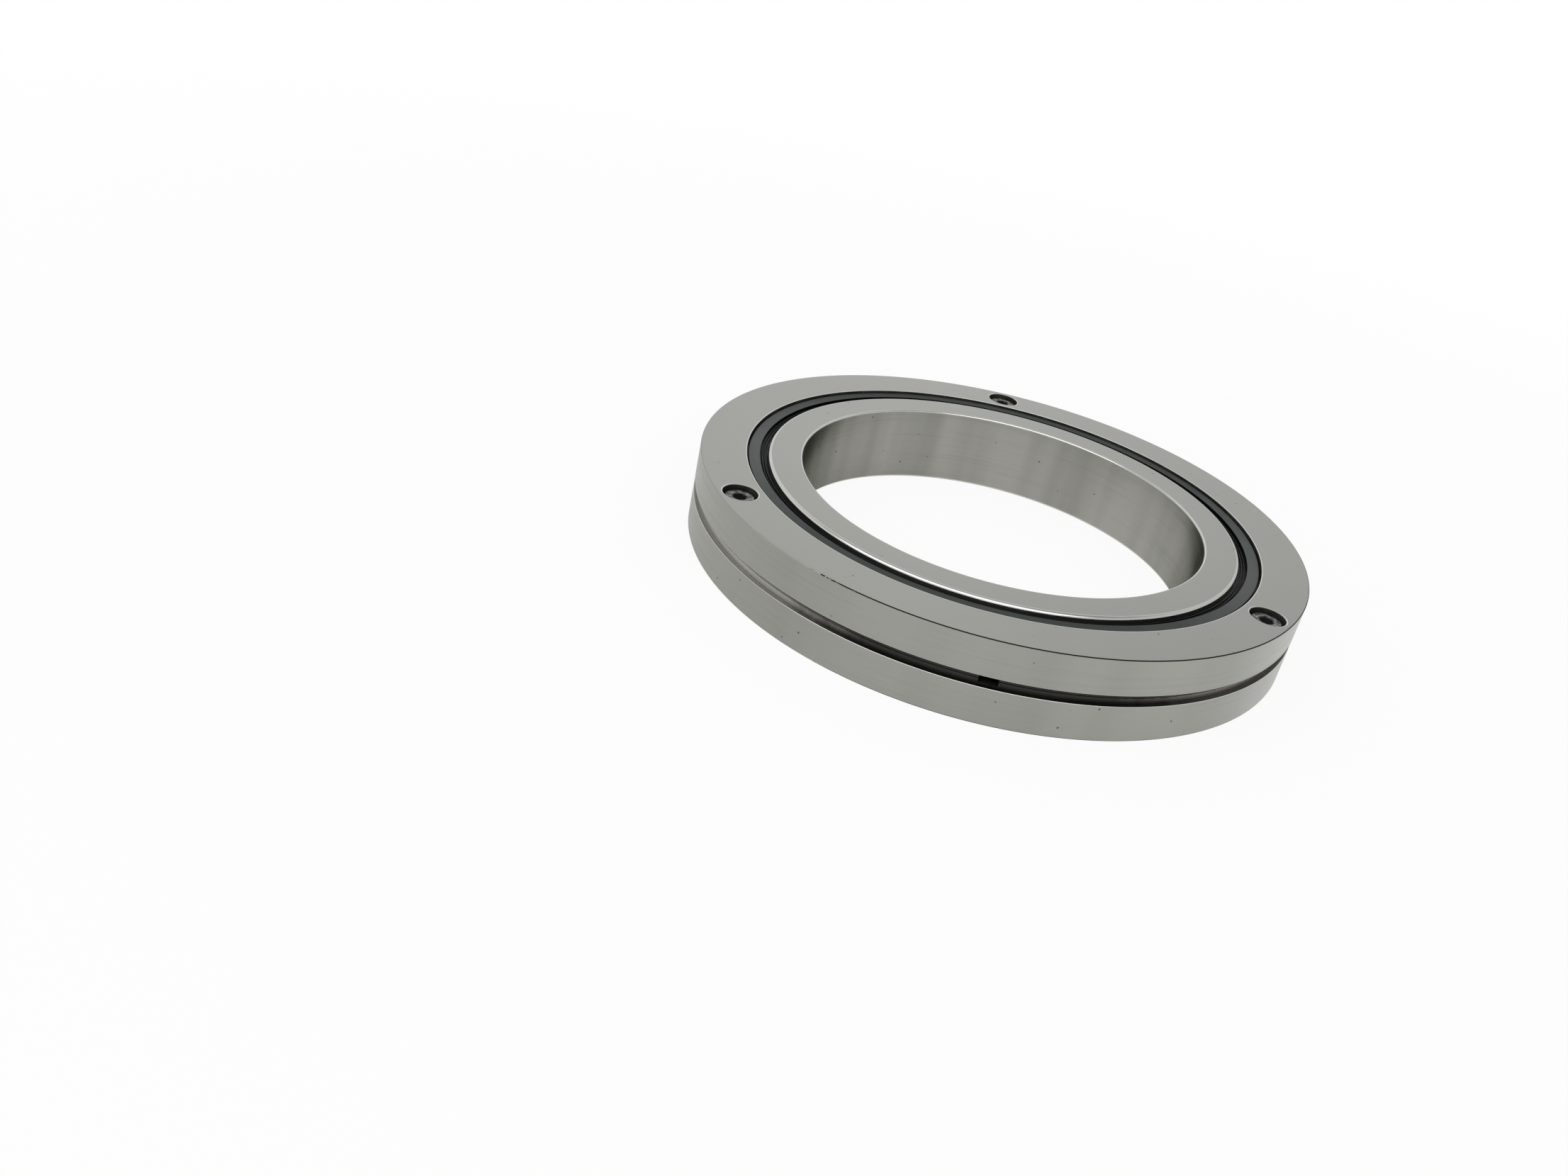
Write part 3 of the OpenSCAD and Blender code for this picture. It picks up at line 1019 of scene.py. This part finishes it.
holes = [plug(f"hole_{i}", hole_section, place) for i, place in enumerate(screw_places)]
taps = [plug(f"tap_{i}", tap_section, place) for i, place in enumerate(screw_places)]
slots = [slot_block(f"slot_{i}", place) for i, place in enumerate(screw_places)]
print("cutters:", len(holes), "holes,", len(taps), "tapped holes,", len(slots), "slots")

# %% [markdown]
# With its cutters ready, each half is one call. The lower half is the upper one turned over.
# The groove's root is painted dark as a shadow: for most of the upper half, under the groove's upper lip,
# and only in a hair-thin line at the far corner of the lower one.

# %% Outer ring
# Distance from the split at which the painted shadow starts, in millimetres
UPPER_SHADOW = 0.3
LOWER_SHADOW = 1.25
upper_bm = outer_half(UPPER_SHADOW)
upper_half = make_piece("ground_outer_ring_upper", upper_bm, outer_finishes, holes + slots)
dress(upper_half, "outer_ring_upper", "outer")
lower_bm = turned_over(outer_half(LOWER_SHADOW))
lower_half = make_piece("ground_outer_ring_lower", lower_bm, outer_finishes, taps + slots)
dress(lower_half, "outer_ring_lower", "outer")
put_away(holes + taps + slots)

# %% [markdown]
# The seal is moulded nitrile rubber. Its flat band has gone greyish with handling
# and lies a little below the faces. The mould was turned on a lathe, and its fine circles show in the rubber:
# the band is paler at the left and right, where one looks along them,
# than in front and behind, where one looks across.

# %% Nitrile rubber
# Satin dark grey with a faint green cast, and paler where the light grazes along its fine circles
rubber, tree, surface, place = new_finish("moulded_nitrile_rubber")
BLOOM = 6.0
bloom = add(
    tree,
    "ShaderNodeTexNoise",
    {"Vector": place, "Scale": 1 / (BLOOM * MM), "Detail": 5.0, "Roughness": 0.6},
)
dusty = add(tree, "ShaderNodeMapRange", {0: bloom.outputs["Fac"], 1: 0.35, 2: 0.7})
colour = add(
    tree,
    "ShaderNodeMix",
    {0: dusty.outputs[0], MIX_A: srgb("#1c201e"), MIX_B: srgb("#272b29")},
    data_type="RGBA",
)
GRAIN = 0.35
grain = add(
    tree,
    "ShaderNodeTexNoise",
    {"Vector": place, "Scale": 1 / (GRAIN * MM), "Detail": 2.0},
)
skin = add(tree, "ShaderNodeBump", {"Height": grain.outputs["Fac"], "Strength": 0.2, "Distance": 0.02 * MM})
circles = add(tree, "ShaderNodeTangent", direction_type="RADIAL", axis="Z")
surface.inputs["Roughness"].default_value = 0.45
surface.inputs["Specular Tint"].default_value = srgb("#f0fff6")
surface.inputs["Anisotropic"].default_value = 0.9
surface.inputs["Anisotropic Rotation"].default_value = 0.25
tree.links.new(colour.outputs[MIX_OUT], surface.inputs["Base Color"])
tree.links.new(skin.outputs[0], surface.inputs["Normal"])
tree.links.new(circles.outputs[0], surface.inputs["Tangent"])
print(rubber.name, len(tree.nodes), "nodes")

# %% [markdown]
# Nearer the axis the seal drops to a thin lip with two fine ridges.
# It runs in old grease, which makes it black.
# The lip lies in shade between the rings, so its shine is turned down as painted shade and the finish mirrors
# very little.
# The same black serves for the bead, which lies in the shade of its groove.

# %% Greased rubber
# Deep black, with only a faint shine, which is painted shade
SMEAR = 2.5
greased_and_shaded, tree, surface, smear = mottled("greased_nitrile_lip_painted_shade", SMEAR, 4.0, "#050606", "#0b0c0d")
wet = add(tree, "ShaderNodeMapRange", {0: smear, 1: 0.35, 2: 0.7, 3: 0.3, 4: 0.4})
surface.inputs["Specular IOR Level"].default_value = 0.06
tree.links.new(wet.outputs[0], surface.inputs["Roughness"])
print(greased_and_shaded.name, len(tree.nodes), "nodes")

# %% [markdown]
# The seal's section follows the solid: bead, band, floor of the lip, two ridges and the thin tip.
# The lip is six parts wide, and its ridges stand four and two parts away from its tip.

# %% Section of the seal
RIM_GAP = 0.5
BEAD_GAP = 0.05
BAND_IN = 1.0
LIP_DROP = 0.9
LIP_GAP = 0.1
LIP_PARTS = 6
RIDGE_PARTS = (4, 2)
RIDGE_H = 0.35
# Half the width of a ridge at its foot and at its top, in parts of the lip
RIDGE_FOOT, RIDGE_TOP = 0.6, 0.2
# How far the tip reaches down, as a share of the height from the lip's floor to the seal's seat
TIP_SHARE = 0.6

band_out = recess_r - RIM_GAP
band_in = pitch_r - BAND_IN
tip_r = track_r + LIP_GAP
face_z = split - SEAL_SINK
floor_z = face_z - LIP_DROP
lip_part = (band_in - tip_r) / LIP_PARTS
ridge_middles = [tip_r + lip_part * k for k in RIDGE_PARTS]
bead_r = recess_r + BEAD_CATCH - BEAD_GAP
bead_top = seat_z + BEAD_H - BEAD_GAP
ridge_points = []
for middle in ridge_middles:
    ridge_points += [
        (middle + RIDGE_FOOT * lip_part, floor_z),
        (middle + RIDGE_TOP * lip_part, floor_z + RIDGE_H),
        (middle - RIDGE_TOP * lip_part, floor_z + RIDGE_H),
        (middle - RIDGE_FOOT * lip_part, floor_z),
    ]
seal_section = [
    (band_in, seat_z),
    (bead_r, seat_z),
    (bead_r, bead_top),
    (band_out, bead_top),
    (band_out, face_z),
    (band_in, face_z),
    (band_in, floor_z),
    *ridge_points,
    (tip_r, floor_z),
    (tip_r, floor_z - TIP_SHARE * (floor_z - seat_z)),
]
print(f"band from {band_in:.2f} to {band_out:.2f} mm, ridges at", [round(r, 2) for r in ridge_middles], "mm")

# %% [markdown]
# A mould leaves its edges slightly round, so the edges that show are rounded.
# The ridges' tops stand out of the grease, so they have the dry rubber of the band.

# %% Seals
RIDGE_EDGE = 0.04
seal_finishes = [rubber, greased_and_shaded]
BAND, LIP = range(len(seal_finishes))


def seal():
    """The upper seal."""
    bm = turned_piece([(r, split + z) for r, z in seal_section])
    for r, z in ((band_out, face_z), (band_in, face_z), (bead_r, bead_top)):
        round_off(bm, ring_edges(bm, r, split + z), EDGE_BREAK, 3)
    for middle in ridge_middles:
        for side in (-RIDGE_TOP, RIDGE_TOP):
            round_off(bm, ring_edges(bm, middle + side * lip_part, split + floor_z + RIDGE_H), RIDGE_EDGE, 2)
    band_top = split + face_z
    lip_floor = split + floor_z
    colour_faces(bm, LIP, lambda r, z: r < band_in + CLOSE and z < band_top - EDGE_BREAK / 2)
    colour_faces(bm, LIP, lambda r, z: r > band_out - CLOSE and z < band_top - EDGE_BREAK)
    for middle in ridge_middles:
        colour_faces(bm, BAND, lambda r, z: abs(r - middle) < RIDGE_TOP / 2 * lip_part and z > lip_floor)
    return bm


upper_seal = make_piece("nitrile_seal_upper", seal(), seal_finishes)
dress(upper_seal, "seal_upper", "outer")
lower_seal = make_piece("nitrile_seal_lower", turned_over(seal()), seal_finishes)
dress(lower_seal, "seal_lower", "outer")

# %% [markdown]
# The screws are socket head cap screws, blackened in hot salts.
# That leaves a thin dark oxide with a satin gloss, a little blotchy from the bath.

# %% Blackened screw steel
# Near-black and satin
BLOTCH = 1.2
black_screw, tree, surface, _ = mottled("blackened_screw_steel", BLOTCH, 4.0, "#1a1a1b", "#2c2c2c")
surface.inputs["Roughness"].default_value = 0.4
print(black_screw.name, len(tree.nodes), "nodes")

# %% [markdown]
# The black has worn off the top of the head, where keys and fingers rub it, and stayed in the socket.
# So the head's top gets a finish of its own, in which noise mixes black pits with bare steel.

# %% Worn screw top
# Mottled mid grey metal that still holds some black in its pits
worn_screw, tree, surface, place = new_finish("worn_screw_steel")
RUB = 0.9
rub = add(
    tree,
    "ShaderNodeTexNoise",
    {"Vector": place, "Scale": 1 / (RUB * MM), "Detail": 5.0, "Roughness": 0.7},
)
rubbed = add(tree, "ShaderNodeMapRange", {0: rub.outputs["Fac"], 1: 0.42, 2: 0.72})
colour = add(
    tree,
    "ShaderNodeMix",
    {0: rubbed.outputs[0], MIX_A: srgb("#4a4a47"), MIX_B: srgb("#cfcfcb")},
    data_type="RGBA",
)
pits = add(tree, "ShaderNodeBump", {"Height": rub.outputs["Fac"], "Strength": 0.3, "Distance": 0.03 * MM})
surface.inputs["Metallic"].default_value = 1.0
surface.inputs["Roughness"].default_value = 0.4
tree.links.new(colour.outputs[MIX_OUT], surface.inputs["Base Color"])
tree.links.new(pits.outputs[0], surface.inputs["Normal"])
print(worn_screw.name, len(tree.nodes), "nodes")

# %% [markdown]
# A screw is turned too, about its own axis: shank, head and rounded rim.
# Its socket is cut in two steps: a hexagon, and a small round countersink at its mouth.
# The thread is out of sight inside the ring, so the shank stays plain.

# %% Sections of a screw
SOCKET_W = 3.0
MOUTH_EDGE = 0.12
MOUTH_POINT = 0.4
SCREW_L = 10.0
POINT_EDGE = 0.3

head_top = width - HEAD_SINK
socket_r = SOCKET_W / 2 / math.cos(math.pi / 6)
screw_section = [
    (0.0, screw_seat - SCREW_L),
    (SHANK_R - POINT_EDGE, screw_seat - SCREW_L),
    (SHANK_R, screw_seat - SCREW_L + POINT_EDGE),
    (SHANK_R, screw_seat),
    (HEAD_R, screw_seat),
    (HEAD_R, head_top),
    (0.0, head_top),
]
# The countersink's wall goes two across for one up, and ends above the head
mouth_section = [
    (0.0, head_top - MOUTH_EDGE - MOUTH_POINT),
    (socket_r - MOUTH_EDGE, head_top - MOUTH_EDGE),
    (socket_r + 3 * MOUTH_EDGE, head_top + MOUTH_EDGE),
    (0.0, head_top + MOUTH_EDGE),
]
print(f"heads end at {head_top:.2f} mm, sockets {2 * socket_r:.2f} mm over the corners")

# %% [markdown]
# Both cutters of the socket keep the black finish, so only the flat top and the rim of a head look worn.

# %% Screws
SOCKET_DEPTH = 2.0
HEAD_EDGE = 0.3
SCREW_STEPS = 96
screw_finishes = [black_screw, worn_screw]
BLACK, WORN = range(len(screw_finishes))


def socket_cutters(name, place):
    """The hexagon of a socket and the countersink of its mouth."""
    depth = SOCKET_DEPTH + THROUGH
    bm = bmesh.new()
    bmesh.ops.create_cone(
        bm,
        cap_ends=True,
        segments=6,
        radius1=socket_r * MM,
        radius2=socket_r * MM,
        depth=depth * MM,
    )
    middle = head_top - SOCKET_DEPTH + depth / 2
    bmesh.ops.translate(bm, vec=Vector((place.x, place.y, middle)) * MM, verts=bm.verts)
    hexagon = shown(name + "_hexagon", bm, screw_finishes)
    bm = turned_piece(mouth_section, closed=False, steps=SCREW_STEPS, about=place.xy)
    return [hexagon, shown(name + "_mouth", bm, screw_finishes)]


for name, place in zip(screw_names, screw_places):
    bm = turned_piece(screw_section, closed=False, steps=SCREW_STEPS, about=place.xy)
    round_off(bm, ring_edges(bm, HEAD_R, head_top, place.xy), HEAD_EDGE, 3)
    for face in bm.faces:
        face.material_index = WORN if face.calc_center_median().z / MM > head_top - HEAD_EDGE else BLACK
    tools = socket_cutters(name, place)
    screw = make_piece("cap_" + name, bm, screw_finishes, tools)
    dress(screw, name, "outer")
    put_away(tools)

# %% [markdown]
# The rollers lie deep inside, and their solids are already the true shape, so they only get a finish.
# They are superfinished with an oscillating stone until they nearly mirror.

# %% Roller steel
# Nearly mirror bright, with the faintest cloud of polishing
CLOUD = 1.5
roller_steel, tree, surface, cloud = mottled("superfinished_roller_steel", CLOUD, 3.0, "#c2c3c2", "#cfd0cf")
shine = add(tree, "ShaderNodeMapRange", {0: cloud, 1: 0.3, 2: 0.7, 3: 0.1, 4: 0.16})
surface.inputs["Metallic"].default_value = 1.0
tree.links.new(shine.outputs[0], surface.inputs["Roughness"])
print(roller_steel.name, len(tree.nodes), "nodes")

# %% [markdown]
# The spacers between the rollers are moulded from natural nylon.
# It lets a little light in below its surface, which subsurface scattering imitates.

# %% Spacer nylon
# Milky off-white, slightly see-through at thin edges
FLOW = 2.0
nylon, tree, surface, _ = mottled("moulded_spacer_nylon", FLOW, 3.0, "#e2dcc8", "#ece7d6")
surface.inputs["Roughness"].default_value = 0.45
surface.inputs["Subsurface Weight"].default_value = 0.15
surface.inputs["Subsurface Scale"].default_value = 0.5 * MM
print(nylon.name, len(tree.nodes), "nodes")

# %% [markdown]
# These two finishes go straight onto the frame's own objects, by the start of their names.

# %% Finishes on the solids that stay
kept = {"roller_": roller_steel, "spacers": nylon}
for name, node in frame["nodes"].items():
    for start, finish in kept.items():
        if name.startswith(start):
            for holder in node.material_slots:
                holder.material = finish
print("finished", sum(name.startswith(tuple(kept)) for name in frame["nodes"]), "solids")
